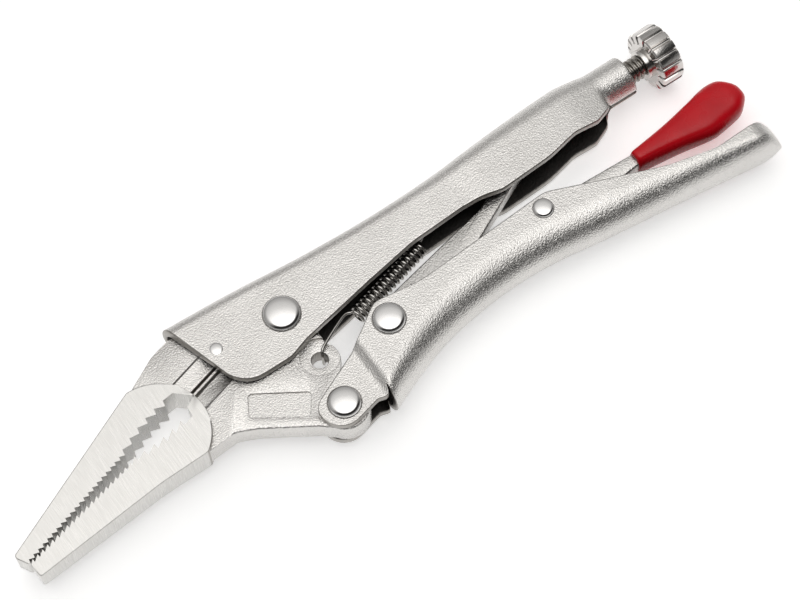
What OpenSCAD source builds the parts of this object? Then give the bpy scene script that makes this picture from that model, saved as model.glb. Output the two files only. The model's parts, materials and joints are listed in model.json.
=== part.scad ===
// Long-nose locking pliers, lying on their side. The linkage is drawn in the plane
// of the tool, with the main pivot at its origin, and place() then sets the tool
// down with its middle over the origin and its lowest rivet head on the ground.

/* [Linkage] */
// Pivot between the movable jaw and the lower handle, along the tool
jaw_pivot_x = -0.55; // [-3:0.05:2]
// The same pivot, across the tool
jaw_pivot_y = -21.5; // [-24:0.1:-19]
// Pivot between the toggle link and the lower handle, along the tool
link_pivot_x = 15.4; // [13:0.1:18]
// The same pivot, across the tool
link_pivot_y = -12.8; // [-14:0.1:-11.5]
// Rear end of the toggle link, along the tool
link_end_x = 63.1; // [62:0.1:64]
// Pivot of the release lever, along the tool
lever_pivot_x = 52.1; // [50:0.1:54]
// The same pivot, across the tool
lever_pivot_y = -10.75; // [-11.5:0.05:-10.5]

/* [Sheet and plate] */
// Thickness of the handles' sheet
sheet = 1.5; // [1.2:0.1:1.6]
// Half the width of the upper handle at its front
upper_front_half = 4.5; // [4.4:0.1:4.8]
// Half the width of both handles at their rear
rear_half = 5.25; // [5:0.05:5.5]
// Half the distance across the lower handle's ears
ear_half = 4.0; // [3.9:0.1:4.2]
// Half the thickness of the jaws' bodies
jaw_half = 2.4; // [2:0.1:2.4]
// Half the thickness of the toggle link and the release lever
link_half = 1.6; // [1.2:0.1:2]

/* [Nose] */
// Half the thickness of the nose at its tip
tip_half = 2.3; // [2:0.1:2.6]
// Half the thickness of the nose where it meets the jaws' bodies
nose_half = 3.35; // [3:0.05:3.5]
// Pitch of the fine teeth
tooth_pitch = 1.225; // [1.1:0.005:1.25]
// Depth of the fine teeth
tooth_depth = 0.72; // [0.5:0.02:0.76]
// Number of fine teeth on each jaw
fine_teeth = 21; // [18:1:21]
// Depth of the coarse teeth
coarse_depth = 1.2; // [0.8:0.1:1.3]
// Number of coarse teeth on each jaw
coarse_teeth = 6; // [5:1:7]

/* [Rivets] */
// Shank of the main pivot rivet
main_shank_d = 4.5; // [4:0.1:5]
// Head of the main pivot rivet
main_head_d = 7.5; // [7:0.1:8]
// Shank of the two rivets in the lower handle
side_shank_d = 4; // [3.5:0.1:4.2]
// Head of the two rivets in the lower handle
side_head_d = 6.6; // [6.2:0.1:7]
// Shank of the lever's rivet
lever_shank_d = 2.6; // [2.2:0.1:3]
// Head of the lever's rivet
lever_head_d = 4.2; // [3.8:0.1:4.6]
// Diameter of the fixed jaw's pin
jaw_pin_d = 3.2; // [2.8:0.1:3.4]
// Height of the domed rivet heads
head_rise = 1.3; // [1:0.1:1.3]
// Height of the lever's rivet heads
lever_head_rise = 0.8; // [0.5:0.1:1]
// Running clearance on the radius of a turning bore
running_gap = 0.05; // [0.03:0.01:0.08]

/* [Adjusting screw] */
// Outer diameter of the screw's thread
screw_d = 4.9; // [4.6:0.1:4.9]
// Pitch of the thread
screw_pitch = 1; // [0.8:0.1:1.2]
// Height of the screw's axis above the main pivot
screw_y = 6.1; // [6:0.1:6.3]
// Outer diameter of the knob
knob_d = 12.3; // [11:0.1:12.8]
// Width of the knob's fluted rim
knob_w = 5; // [4:0.5:6]
// Number of flutes round the knob
knob_flutes = 16; // [12:1:20]

/* [Spring] */
// Outer diameter of the spring's coil
coil_d = 3.8; // [3.2:0.1:4]
// Diameter of the spring's wire
wire_d = 0.6; // [0.5:0.05:0.7]
// Number of turns in the coil
coil_turns = 17; // [12:1:19]

/* [Hidden] */
$fn = 64;
arc_step = 9;              // largest turn between two points of a rounded corner
far = 60;                  // longer than any cut needs to be
plating = [0.86, 0.85, 0.83];
ground_steel = [0.74, 0.74, 0.73];
polished = [0.92, 0.92, 0.92];
dark_steel = [0.45, 0.44, 0.42];
vinyl = [0.80, 0.10, 0.13];

main_pivot = [0, 0];
jaw_pivot = [jaw_pivot_x, jaw_pivot_y];
link_pivot = [link_pivot_x, link_pivot_y];
lever_pivot = [lever_pivot_x, lever_pivot_y];
jaw_pin = [-13.8, 1.1];
spring_hole = [1, -10.9];
spring_anchor = [34.5, 0.9]; // front face and lower edge of the tab that holds the spring

// The whole tool's box, which place() brings to the origin
tip_x = -64.9;
rear_x = 100.1;
top_y = 12.3;
bottom_y = -26.5;
lowest_z = rear_half + head_rise;

upper_inner_front = upper_front_half - sheet;
rear_inner = rear_half - sheet;
hub_half = upper_inner_front - 0.12;    // a jaw's hub between the upper handle's walls
rear_hub_half = rear_inner - 0.15;      // the link's and the lever's hubs

module place() {
  translate([-(tip_x + rear_x) / 2, -(top_y + bottom_y) / 2, lowest_z]) children();
}

// ---- Outlines ----

function unit(v) = v / norm(v);
function direction(a) = [cos(a), sin(a)];
function wrapped(a) = a > 180 ? a - 360 : a < -180 ? a + 360 : a;

// Points that round the corner b, between its neighbours a and c, with radius r
function corner_arc(a, b, c, r) = r <= 0 ? [b] :
  let (
    u = unit(a - b),
    v = unit(c - b),
    half = acos(u * v) / 2,
    centre = b + unit(u + v) * r / sin(half),
    first = b + u * r / tan(half) - centre,
    last = b + v * r / tan(half) - centre,
    start = atan2(first.y, first.x),
    turn = wrapped(atan2(last.y, last.x) - start),
    steps = max(2, ceil(abs(turn) / arc_step))
  ) [for (i = [0:steps]) centre + r * direction(start + turn * i / steps)];

// A closed outline from corners given as [x, y, radius]
function rounded(corners) =
  let (n = len(corners), flat = [for (p = corners) [p.x, p.y]])
  [for (i = [0:n - 1]) each corner_arc(flat[(i + n - 1) % n], flat[i], flat[(i + 1) % n], corners[i].z)];

// Slope of a curve through knots [x, y] at knot i
function knot_slope(knots, i) =
  let (a = knots[max(i - 1, 0)], b = knots[min(i + 1, len(knots) - 1)]) (b.y - a.y) / (b.x - a.x);

// Height at x of the smooth curve through knots [x, y], held level past both ends
function along(knots, x, i = 0) =
  x <= knots[0].x ? knots[0].y :
  x >= knots[len(knots) - 1].x ? knots[len(knots) - 1].y :
  x > knots[i + 1].x ? along(knots, x, i + 1) :
  let (
    span = knots[i + 1].x - knots[i].x,
    t = (x - knots[i].x) / span,
    a = knot_slope(knots, i) * span,
    b = knot_slope(knots, i + 1) * span
  ) (2 * t * t * t - 3 * t * t + 1) * knots[i].y + (t * t * t - 2 * t * t + t) * a
    + (3 * t * t - 2 * t * t * t) * knots[i + 1].y + (t * t * t - t * t) * b;

module plate(outline, half) {
  translate([0, 0, -half]) linear_extrude(2 * half) polygon(outline);
}

module disc(centre, d, half) {
  translate([centre.x, centre.y, -half]) cylinder(d = d, h = 2 * half);
}

// A bore through the whole thickness
module bore(centre, d) {
  disc(centre, d, far / 2);
}

// ---- Pressed sheet ----

// A solid through rings of points. A channel's ring goes along its outer face and back
// along its inner one, so its ends are closed by strips across the sheet.
module swept(rings, channel = false) {
  n = len(rings[0]);
  last = len(rings) - 1;
  sides = [
    for (i = [0:last - 1]) for (j = [0:n - 1])
      let (a = i * n + j, b = i * n + (j + 1) % n)
      each [[a, a + n, b + n], [a, b + n, b]]
  ];
  front = channel
    ? [for (j = [0:n / 2 - 2]) each [[j, j + 1, n - 2 - j], [j, n - 2 - j, n - 1 - j]]]
    : [[for (j = [0:n - 1]) j]];
  back = [for (face = front) [for (k = [len(face) - 1:-1:0]) last * n + face[k]]];
  polyhedron([for (ring = rings) each ring], concat(front, back, sides));
}

crown_steps = 12;

// Half a bend over the channel's back: an ellipse of half-width w and height h
function bend(x, w, h, base, side) = [
  for (i = [0:crown_steps])
    let (a = 180 * i / crown_steps) [x, base + side * h * sin(a), w * cos(a)]
];

// One ring of a channel's sheet, t thick, at x. side is 1 with the back above and -1 below.
function channel_ring(x, w, h, t, crest, rim, side) =
  let (
    base = crest - side * h,
    outer = concat([[x, rim, -side * w]], bend(x, -side * w, h, base, side), [[x, rim, side * w]]),
    inner = concat(
      [[x, rim, -side * (w - t)]], bend(x, -side * (w - t), h - t, base, side), [[x, rim, side * (w - t)]]
    )
  ) concat(outer, [for (i = [len(inner) - 1:-1:0]) inner[i]]);

// ---- Upper handle ----

collar_d = 8.5;
collar_start = 76.5;
collar_end = 84.2;
collar_rim = 0.9;          // radius round the collar's rear end
collar_lip_y = 1.9;
collar_slot = 0.7;         // gap between the collar's two lips
lips_start = collar_start + 0.6;
lips_half = 1.5;           // half the width across both lips
lips_h = 2;                // height of the lips, up into the collar
sheet_end = 77;            // where the pressed sheet meets the collar
sheet_end_half = collar_d / 2 - 0.06;

upper_top = [
  [-23, 11.7], [-5, 10.8], [10, 9.5], [25, 8.9], [40, 9.3], [56, 10.6], [69, 11.3],
  [73, 11], [sheet_end, screw_y + sheet_end_half]
];
upper_half = [
  [-23, upper_front_half], [20, upper_front_half], [41, 4.7], [47, rear_half], [68, rear_half],
  [sheet_end, sheet_end_half]
];
upper_crown = [[-23, 3.2], [30, 3.4], [47, 4.2], [68, 5], [sheet_end, sheet_end_half]];
upper_reach = -14;         // how far down the walls reach before the outline trims them

upper_outline = rounded([
  [-22.3, 20, 0], [-13.6, -8.3, 6], [-3.2, -8.35, 4], [0.9, -6.95, 5], [17.2, -3.75, 20],
  [28.4, -1.8, 20], [40, -1.3, 12], [44, -1.6, 10], [48.6, -2.9, 6], [60, -2.4, 20], [67, -0.9, 6],
  [72.2, -1.3, 1.5], [76.1, 0.2, 1.5], [77.6, collar_lip_y, 0.8], [collar_end, collar_lip_y, 0],
  [collar_end, 20, 0]
]);

module upper_channel() {
  stations = concat([for (x = [-23:3.4:45]) x], [for (x = [47:2.2:sheet_end]) x], [sheet_end + 0.4]);
  swept([
    for (x = stations)
      channel_ring(
        x, along(upper_half, x), along(upper_crown, x), sheet, along(upper_top, x), upper_reach, 1
      )
  ], channel = true);
}

// Runs along the tool, centred on the screw's axis
module screw_line(from, to, d) {
  translate([from, screw_y, 0]) rotate([0, 90, 0]) cylinder(d = d, h = to - from);
}

// A solid turned round the screw's axis from a profile of [radius, distance behind x]
module turned(x, profile) {
  translate([x, screw_y, 0]) rotate([0, 90, 0]) rotate_extrude() polygon(profile);
}

// The round sleeve that the screw runs in
module collar() {
  length = collar_end - collar_start;
  r = collar_d / 2;
  rim = [for (a = [0:15:90]) [r - collar_rim * (1 - cos(a)), length - collar_rim * (1 - sin(a))]];
  turned(collar_start, concat([[0, 0], [r, 0]], rim, [[0, length]]));
}

// The two lips that close the sleeve's underside
module collar_lips() {
  translate([lips_start, collar_lip_y, -lips_half])
    cube([collar_end - collar_rim - lips_start, lips_h, 2 * lips_half]);
}

tab_half = 1.2;
tab_thickness = 1.4;

// The tab that the spring's rear hook goes round, struck down from the back
module spring_tab() {
  translate([spring_anchor.x, spring_anchor.y, -tab_half])
    cube([tab_thickness, along(upper_top, spring_anchor.x) - sheet / 2 - spring_anchor.y, 2 * tab_half]);
}

module upper_handle() {
  color(plating) place() difference() {
    union() {
      intersection() {
        upper_channel();
        plate(upper_outline, far / 2);
      }
      collar();
      collar_lips();
      spring_tab();
    }
    screw_line(collar_start - 1, collar_end + 1, screw_d + 2 * running_gap);
    translate([collar_start - 1, collar_lip_y - 1, -collar_slot / 2])
      cube([collar_end - collar_start + 2, lips_h + 1, collar_slot]);
    bore(main_pivot, main_shank_d);
    bore(jaw_pin, jaw_pin_d);
  }
}

// ---- Jaws ----

fixed_line = 17;           // angle of the fixed jaw's row of teeth
movable_line = 12.8;       // angle of the movable jaw's row of teeth
first_valley = [-63.1, -13.3];
first_lower_valley = [-62.4, -14.4];
tooth_lean = 0.1;          // how far a tooth's steep flank leans
cut_start = [-22.2, -3.9]; // front end of the wire cutter's edge
cut_angle = 16;
cut_gap = 0.3;
strip_w = 4.2;             // width of the sunk strip beside the cutter's edge
strip_l = 11;
strip_half = 1.75;         // half the thickness in the strip
strip_slope = 0.2;         // how much it rises away from the edge
cutter_edge_half = 0.3;    // half the thickness left at the cutter's edge
cut_over = 0.2;            // how far the strips' cuts reach past the edge and the faces
edge_l = 15;               // length of the straight edge between the two jaws

// A saw-toothed line of count teeth from a to b. Each has its steep flank towards the
// tip. up is 1 for teeth whose crests point down and -1 for crests that point up.
function teeth(a, b, count, depth, up) = [
  for (i = [0:count - 1])
    let (root = a + (b - a) * i / count)
    each up > 0
      ? [root + [-tooth_lean, -depth], root]
      : [root + [-tooth_lean, depth], root]
];

fine_end = first_valley + fine_teeth * tooth_pitch * direction(fixed_line);
lower_fine_end = first_lower_valley + fine_teeth * tooth_pitch * direction(movable_line);

// Teeth of depth on an arc from a to b that bulges by rise
function arc_teeth(a, b, rise, count, depth, up) = [
  for (i = [0:count - 1])
    let (t = i / count, root = a + (b - a) * t + [0, 4 * rise * t * (1 - t)])
    each [root + [-tooth_lean * 2, -up * depth], root]
];

hub_r = 6.6;
tang_gap = 0.5;

fixed_teeth = concat(
  teeth(first_valley, fine_end, fine_teeth, tooth_depth, 1),
  arc_teeth(fine_end + [0.1, 0.5], [-25, -1.2], 0.8, coarse_teeth, coarse_depth, 1)
);
movable_teeth = concat(
  teeth(first_lower_valley, lower_fine_end, fine_teeth, tooth_depth, -1),
  arc_teeth(lower_fine_end + [0.2, -0.1], [-24.4, -7.2], -0.7, coarse_teeth, coarse_depth, -1)
);

// A row of teeth as sharp corners, from its rear end to the tip
function sharp(row) = [for (i = [len(row) - 1:-1:0]) [row[i].x, row[i].y, 0]];

fixed_nose = rounded(concat(
  [
    [-63.7, -13.9, 0], [-65.2, -11.3, 0.8], [-29.1, 5.2, 12], [-22, 8.6, 0], [-18, 8.6, 0], [-18, -2.5, 0],
    [cut_start.x, cut_start.y + cut_gap / 2, 0], [-25, -1.2, 0]
  ],
  sharp(fixed_teeth)
));

movable_nose = rounded(concat(
  [
    [-63.2, -14.4, 0], [-63.1, -17.4, 0.6], [-36, -15, 20], [-26, -14.9, 6], [-19, -13, 0], [-19, -5, 0],
    [cut_start.x, cut_start.y - cut_gap / 2, 0], [-24.3, -5.2, 0], [-24.4, -7.2, 0]
  ],
  sharp(movable_teeth)
));

nose_centre = [-32, -6.5];
nose_r = 10.4;

// The wedge between the nose's two ground sides, with its round rear boundary
module nose_wedge() {
  front = tip_x - 1;
  rear = nose_centre.x + nose_r;
  intersection() {
    translate([0, far, 0]) rotate([90, 0, 0]) linear_extrude(2 * far)
      polygon([[front, tip_half], [rear, nose_half], [rear, -nose_half], [front, -tip_half]]);
    union() {
      disc(nose_centre, 2 * nose_r, nose_half + 1);
      translate([front, -far / 2, -nose_half - 1])
        cube([nose_centre.x - front, far, 2 * nose_half + 2]);
    }
  }
}

// Sunk strips on both faces, with a steep bevel from each down to the cutter's edge.
// side is 1 on the fixed jaw.
module cutter_strips(side) {
  top = jaw_half + cut_over;
  for (face = [-1, 1])
    translate([cut_start.x - 3, cut_start.y, 0]) rotate([0, 0, cut_angle])
      rotate([90, 0, 90]) linear_extrude(strip_l)
        polygon([
          [-side * cut_over, face * cutter_edge_half],
          [side * 0.1, face * cutter_edge_half],
          [side * 0.6, face * strip_half],
          [side * (strip_w - 0.3), face * (strip_half + strip_slope)],
          [side * strip_w, face * top],
          [-side * cut_over, face * top]
        ]);
}

fixed_edge_end = cut_start + edge_l * direction(cut_angle) + [0, cut_gap / 2];
movable_edge_end = cut_start + (edge_l + 0.5) * direction(cut_angle) - [0, cut_gap / 2];

fixed_body = rounded([
  [-30.5, 4.3, 0], [-24.2, 7.7, 6], [-19, 9, 3], [-17, 9, 0], [3, 9, 0.7],
  [3, 7.6, 0.4], [-4, 6.3, 0], [-7.3, 1.1, 0],
  [fixed_edge_end.x, fixed_edge_end.y, 0], [cut_start.x, cut_start.y + cut_gap / 2, 0], [-25, -1.2, 0]
]);
fixed_hub_corner = [-15.5, 2.6]; // behind and above it, the fixed jaw fills the handle's width

module fixed_jaw() {
  color(ground_steel) place() difference() {
    union() {
      intersection() {
        plate(fixed_nose, far / 2);
        nose_wedge();
      }
      difference() {
        plate(fixed_body, jaw_half);
        cutter_strips(1);
      }
      intersection() {
        plate(fixed_body, hub_half);
        translate([fixed_hub_corner.x, fixed_hub_corner.y, -far / 2]) cube([far, far, far]);
      }
    }
    disc(main_pivot, 2 * (hub_r + tang_gap), far / 2);
    bore(jaw_pin, jaw_pin_d);
  }
}

movable_body = rounded([
  [-24.4, -7.2, 0], [cut_start.x, cut_start.y - cut_gap / 2, 0],
  [movable_edge_end.x, movable_edge_end.y, 0], [2, 1, 0], [3.6, -5.6, 0.5], [3.9, -8.9, 0.4],
  [4.75, -9.9, 1.2], [4.75, -12.4, 3], [2.2, -15.6, 0.4], [3.2, -19, 1], [3.8, -22, 0], [-2, -26.3, 2],
  [-6.6, -22.2, 4], [-16, -16.1, 8], [-20, -14.2, 5], [-27, -14.8, 0], [-27, -9, 0]
]);
lug_d = 9.4;               // round end of the jaw's lug, at its pivot in the lower handle
coin_centre = [1.3, -10.5]; // the round recess pressed into both faces, round the spring's hole
coin_d = 7.6;
coin_depth = 0.55;
spring_hole_d = 3.3;
plaque_depth = 0.3;

plaque = rounded([[-13.7, -9.1, 0.8], [-3.9, -15.5, 0.8], [-6.9, -19.5, 0.8], [-16.1, -13.2, 0.8]]);

module movable_jaw() {
  color(ground_steel) place() difference() {
    union() {
      intersection() {
        plate(movable_nose, far / 2);
        nose_wedge();
      }
      difference() {
        plate(movable_body, jaw_half);
        cutter_strips(-1);
      }
      disc(main_pivot, 2 * hub_r, hub_half);
      disc(jaw_pivot, lug_d, jaw_half);
    }
    bore(main_pivot, main_shank_d + 2 * running_gap);
    bore(jaw_pivot, side_shank_d + 2 * running_gap);
    bore(spring_hole, spring_hole_d);
    for (side = [-1, 1]) translate([0, 0, side * jaw_half]) disc(coin_centre, coin_d, coin_depth);
    translate([0, 0, jaw_half - plaque_depth]) linear_extrude(1) polygon(plaque);
  }
}

// ---- Lower handle ----

lower_bottom = [
  [8, -26.4], [14, -23.9], [22, -21.1], [31, -19.4], [41, -18.7], [50, -19.15], [60, -20.6],
  [80, -23], [99, -25.2]
];
lower_crown = [[8, 3.4], [20, 4.6], [60, 4.4], [99, 3.2]];
joggle_front = 6.6;
joggle_rear = 7.5;
ear_crest = -29.5;
ear_crown = 1.7;
lower_end = 99;
lower_bend_x = 94;         // where the two walls start to curve together
lower_front = -7;          // front end and top of the trough, past the outline that trims it
lower_lid = 0;

lower_outline = rounded([
  [-5.5, -19.2, 3], [-1.4, -17.3, 3], [5.8, -14.1, 8], [9.6, -11.9, 6], [15, -8.2, 3], [25, -9.6, 14],
  [54.4, -7.9, 6], [63, -11.5, 10], [77, -17.1, 12], [86.5, -19.4, 8], [97, -19.1, 2],
  [lower_end, -21.4, 1], [lower_end + 1, -24, 0], [lower_end + 1, -30, 0], [11, -30, 0],
  [7.8, -26.6, 0.3], [6.9, -25.3, 0.6], [4.9, -24.5, 1], [-5.5, -27.1, 4.4]
]);

// A solid cross-section of the lower handle at x, with its rounded back at crest
function trough_ring(x, w, h, crest, rim) =
  concat([[x, rim, w]], bend(x, w, h, crest + h, -1), [[x, rim, -w]]);

// The space within the lower handle's outer face, inset t from it. In front of the joggle
// the back runs below the outline, which leaves two flat ears.
module trough(t, front, rim) {
  reach = lower_end - t - lower_bend_x;
  ear = function(x) trough_ring(x, ear_half - t, ear_crown - t, ear_crest + t, rim);
  wide = function(x)
    trough_ring(x, rear_half - t, along(lower_crown, x) - t, along(lower_bottom, x) + t, rim);
  closing = function(a)
    let (x = lower_bend_x + reach * sin(a), h = along(lower_crown, x) - t, rise = 0.8 * (1 - cos(a)))
    trough_ring(x, (rear_half - t) * cos(a), h, along(lower_bottom, x) + t + rise, rim);
  swept(concat(
    [ear(front), ear(joggle_front), wide(joggle_rear)],
    [for (x = [10:2.6:52]) wide(x)],
    [for (x = [54.5:4:92]) wide(x)],
    [for (a = [0:12:84]) closing(a)],
    [closing(88)]
  ));
}

module lower_handle() {
  color(plating) place() difference() {
    intersection() {
      trough(0, lower_front, lower_lid);
      plate(lower_outline, far / 2);
    }
    trough(sheet, lower_front - 1, lower_lid + 1);
    bore(jaw_pivot, side_shank_d);
    bore(link_pivot, side_shank_d);
    bore(lever_pivot, lever_shank_d);
  }
}

// ---- Rivets and pins ----

// A rivet whose domed heads sit on faces at +-grip from the middle
module rivet(centre, shank_d, head_d, rise, grip) {
  ball_r = (head_d * head_d / 4 + rise * rise) / (2 * rise);
  color(polished) place() translate([centre.x, centre.y, 0]) {
    translate([0, 0, -grip - 0.1]) cylinder(d = shank_d, h = 2 * grip + 0.2);
    for (side = [-1, 1])
      scale([1, 1, side]) intersection() {
        translate([0, 0, grip + rise - ball_r]) sphere(r = ball_r);
        translate([0, 0, grip]) cylinder(d = head_d, h = rise + 1);
      }
  }
}

module main_pivot_rivet() {
  rivet(main_pivot, main_shank_d, main_head_d, head_rise, upper_front_half);
}

module jaw_handle_rivet() {
  rivet(jaw_pivot, side_shank_d, side_head_d, head_rise, ear_half);
}

module link_rivet() {
  rivet(link_pivot, side_shank_d, side_head_d, head_rise, rear_half);
}

module lever_rivet() {
  rivet(lever_pivot, lever_shank_d, lever_head_d, lever_head_rise, rear_half);
}

module fixed_jaw_pin() {
  color(polished) place() disc(jaw_pin, jaw_pin_d, upper_front_half + 0.15);
}

// ---- Toggle link and release lever ----

link_hub_d = 9;
lever_hub_d = 6;

link_outline = rounded([
  [11.2, -13.2, 3], [12.2, -8.8, 3], [44.5, -1.9, 8], [56.6, 7.6, 2],
  [link_end_x - 1.3, 8, 2.2], [link_end_x, 4, 2.6], [60, 2.2, 4], [49, -2.9, 20], [38.8, -7.9, 1.2],
  [30, -11.4, 8], [17, -17.4, 4]
]);

module toggle_link() {
  color(plating) place() difference() {
    union() {
      plate(link_outline, link_half);
      disc(link_pivot, link_hub_d, rear_hub_half);
    }
    bore(link_pivot, side_shank_d + 2 * running_gap);
  }
}

lever_outline = rounded([
  [40.6, -11.2, 0.8], [41.6, -9.9, 1], [50, -8.4, 3], [60, -8.9, 10], [74, -9.5, 10], [90, -8.4, 3],
  [96, -8.8, 1.6], [96, -11.9, 1.6], [88, -12.8, 3], [74, -12.1, 10], [56, -13.8, 4], [49, -13.6, 3]
]);

module release_lever() {
  color(ground_steel) place() difference() {
    union() {
      plate(lever_outline, link_half);
      disc(lever_pivot, lever_hub_d, rear_hub_half);
    }
    bore(lever_pivot, lever_shank_d + 2 * running_gap);
  }
}

grip_start = 73.8;
grip_end = rear_x;
grip_half = 3.1;

// Mid-height and half-height of the grip along the lever's tail
grip_middle = [[grip_start, -10.8], [83, -10.8], [90, -10.75], [94, -10.15], [97, -10], [grip_end, -10.4]];
grip_reach = [[grip_start, 1.7], [83, 3], [90, 4.35], [94, 4.6], [97, 4.2], [grip_end - 0.6, 2.9]];
grip_round = 3.5;          // length of the grip's rounded end

// A rounded-square ring round the lever's tail
function grip_ring(x, swell) = [
  for (i = [0:23])
    let (a = 15 * i, c = cos(a), s = sin(a))
    [
      x,
      along(grip_middle, x) + swell * along(grip_reach, x) * sign(s) * pow(abs(s), 0.7),
      -swell * grip_half * sign(c) * pow(abs(c), 0.7)
    ]
];

module lever_grip() {
  color(vinyl) place() difference() {
    swept(concat(
      [grip_ring(grip_start, 0.86), grip_ring(grip_start + 0.4, 0.97)],
      [for (x = [grip_start + 2:3:grip_end - grip_round - 1.5]) grip_ring(x, 1)],
      [for (a = [10:20:90]) grip_ring(grip_end - grip_round * (1 - sin(a)), max(0.12, pow(cos(a), 0.6)))]
    ));
    plate(lever_outline, link_half);
  }
}

// ---- Spring ----

coil_start = [11.9, -6.5];
coil_end = [30.6, -1.4];
coil_r = (coil_d - wire_d) / 2;
coil_axis = unit(coil_end - coil_start);
coil_length = norm(coil_end - coil_start);
coil_first_angle = 10;     // where the wire joins the coil, from its top
wire_sides = 6;
turn_steps = 12;

// A point s along the coil's axis, at distance side across it and at height z
function in_plane(s, side, z) = [
  coil_start.x + coil_axis.x * s - coil_axis.y * side,
  coil_start.y + coil_axis.y * s + coil_axis.x * side,
  z
];

coil_path = [
  for (i = [0:coil_turns * turn_steps])
    let (a = coil_first_angle - 360 * i / turn_steps)
    in_plane(coil_length * i / (coil_turns * turn_steps), coil_r * sin(a), coil_r * cos(a))
];
// From the far side of the movable jaw, through its hole, and on to the top of the coil
front_hook = [
  [3.2, -9.3, -2.75], [2.4, -9.95, -2.6], [1.95, -10.35, -1.9], [1.95, -10.35, 1.8], [2.3, -9.85, 2.45],
  [3.1, -9.25, 2.6], [6.2, -7.6, 2.4], [8.6, -6.4, 2.15], [9.6, -5.95, 2], [10.5, -5.85, 1.85],
  [11.2, -6.1, 1.75]
];
// Along one side of the tab, round behind it and back along the other side
rear_hook = let (x = spring_anchor.x, y = spring_anchor.y + 0.6, z = tab_half + wire_d / 2 + 0.15) [
  [x - 2, y - 0.9, z], [x, y - 0.1, z], [x + 1.3, y, z], [x + 2, y, z * 0.7], [x + 2.2, y, 0],
  [x + 2, y, -z * 0.7], [x + 1.3, y, -z], [x, y, -z]
];
spring_path = concat(front_hook, coil_path, rear_hook);

function tangent(path, i) = unit(path[min(i + 1, len(path) - 1)] - path[max(i - 1, 0)]);

function wire_ring(path, i) =
  let (
    t = tangent(path, i),
    u = unit(cross(t, [coil_axis.x, coil_axis.y, 0.3])),
    v = cross(t, u)
  ) [
    for (k = [0:wire_sides - 1])
      let (a = 360 * k / wire_sides) path[i] + wire_d / 2 * (cos(a) * u + sin(a) * v)
  ];

module tension_spring() {
  color(dark_steel) place() swept([for (i = [0:len(spring_path) - 1]) wire_ring(spring_path, i)]);
}

// ---- Adjusting screw ----

screw_tip = link_end_x + 3.1;
neck_start = 88;
neck_end = 91.9;
neck_d = screw_d - 1.2;
knob_start = 89.4;
thread_depth = 0.45;
crest_from = 0.3;          // where a thread's flat crest starts and ends, as parts of its pitch
crest_to = 0.7;

// The thread, drawn as a row of rings, and the plain neck behind it
module adjusting_screw() {
  turns = floor((neck_start - screw_tip) / screw_pitch);
  root_r = screw_d / 2 - thread_depth;
  thread = [
    for (i = [0:turns - 1]) each [
      [root_r, i * screw_pitch],
      [screw_d / 2, (i + crest_from) * screw_pitch],
      [screw_d / 2, (i + crest_to) * screw_pitch]
    ]
  ];
  end = turns * screw_pitch;
  neck = [[root_r, end], [neck_d / 2, end], [neck_d / 2, neck_end - screw_tip], [0, neck_end - screw_tip]];
  color(dark_steel) place() turned(screw_tip, concat([[0, 0]], thread, neck));
}

boss_d = 6.2;
flute_d = 0.9;
flute_out = 0.15;          // how far a flute's centre lies outside the knob

module screw_knob() {
  color(ground_steel) place() difference() {
    union() {
      screw_line(knob_start, knob_start + knob_w, knob_d);
      screw_line(neck_start + 0.1, knob_start + 0.1, boss_d);
    }
    for (i = [0:knob_flutes - 1])
      translate([knob_start - 1, screw_y, 0]) rotate([360 * i / knob_flutes, 0, 0])
        translate([0, knob_d / 2 + flute_out, 0])
          rotate([0, 90, 0]) cylinder(d = flute_d, h = knob_w + 2, $fn = 24);
    screw_line(neck_start - 1, neck_end + 0.1, neck_d + 2 * running_gap);
  }
}

upper_handle();
fixed_jaw();
fixed_jaw_pin();
main_pivot_rivet();
movable_jaw();
lower_handle();
jaw_handle_rivet();
link_rivet();
lever_rivet();
toggle_link();
release_lever();
lever_grip();
tension_spring();
adjusting_screw();
screw_knob();
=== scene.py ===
"""Long-nose locking pliers: the looks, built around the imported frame.

Shapes are drawn in millimetres from the main pivot, and placed() makes them points of the frame.
"""

import json
import math

import bmesh
import bpy
from mathutils import Matrix, Vector


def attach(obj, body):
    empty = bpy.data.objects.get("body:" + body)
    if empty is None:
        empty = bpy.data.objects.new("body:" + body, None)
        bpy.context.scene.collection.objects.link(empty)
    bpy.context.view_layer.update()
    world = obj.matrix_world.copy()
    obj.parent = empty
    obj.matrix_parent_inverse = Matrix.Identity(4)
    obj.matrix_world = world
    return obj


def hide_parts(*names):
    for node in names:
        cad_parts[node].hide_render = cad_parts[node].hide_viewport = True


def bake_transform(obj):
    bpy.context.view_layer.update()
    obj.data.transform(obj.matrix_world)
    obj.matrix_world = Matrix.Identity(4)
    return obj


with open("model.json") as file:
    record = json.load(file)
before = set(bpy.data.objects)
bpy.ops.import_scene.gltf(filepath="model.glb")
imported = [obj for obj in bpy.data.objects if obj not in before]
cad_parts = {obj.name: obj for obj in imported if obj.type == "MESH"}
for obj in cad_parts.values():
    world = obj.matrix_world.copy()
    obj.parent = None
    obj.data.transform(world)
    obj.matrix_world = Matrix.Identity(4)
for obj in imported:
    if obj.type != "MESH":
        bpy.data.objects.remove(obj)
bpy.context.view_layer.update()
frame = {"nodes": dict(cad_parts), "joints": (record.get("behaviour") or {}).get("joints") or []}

MM = 0.001

# ---- Materials ----

PATCH_SCALE = 90.0  # noise scale of the slow patches in a plating's tint
GRIND_SCALE = 9000.0  # noise scale across the grinding lines
GRIND_STRETCH = 40.0  # how much longer than wide the grinding lines are
WAVE_SCALE = 250.0  # noise scale of the slow waves in the dip coating


def new_material(name):
    """An empty node material: (material, node tree, its principled shader)."""
    material = bpy.data.materials.new(name)
    material.use_nodes = True
    tree = material.node_tree
    return material, tree, tree.nodes["Principled BSDF"]


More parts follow.
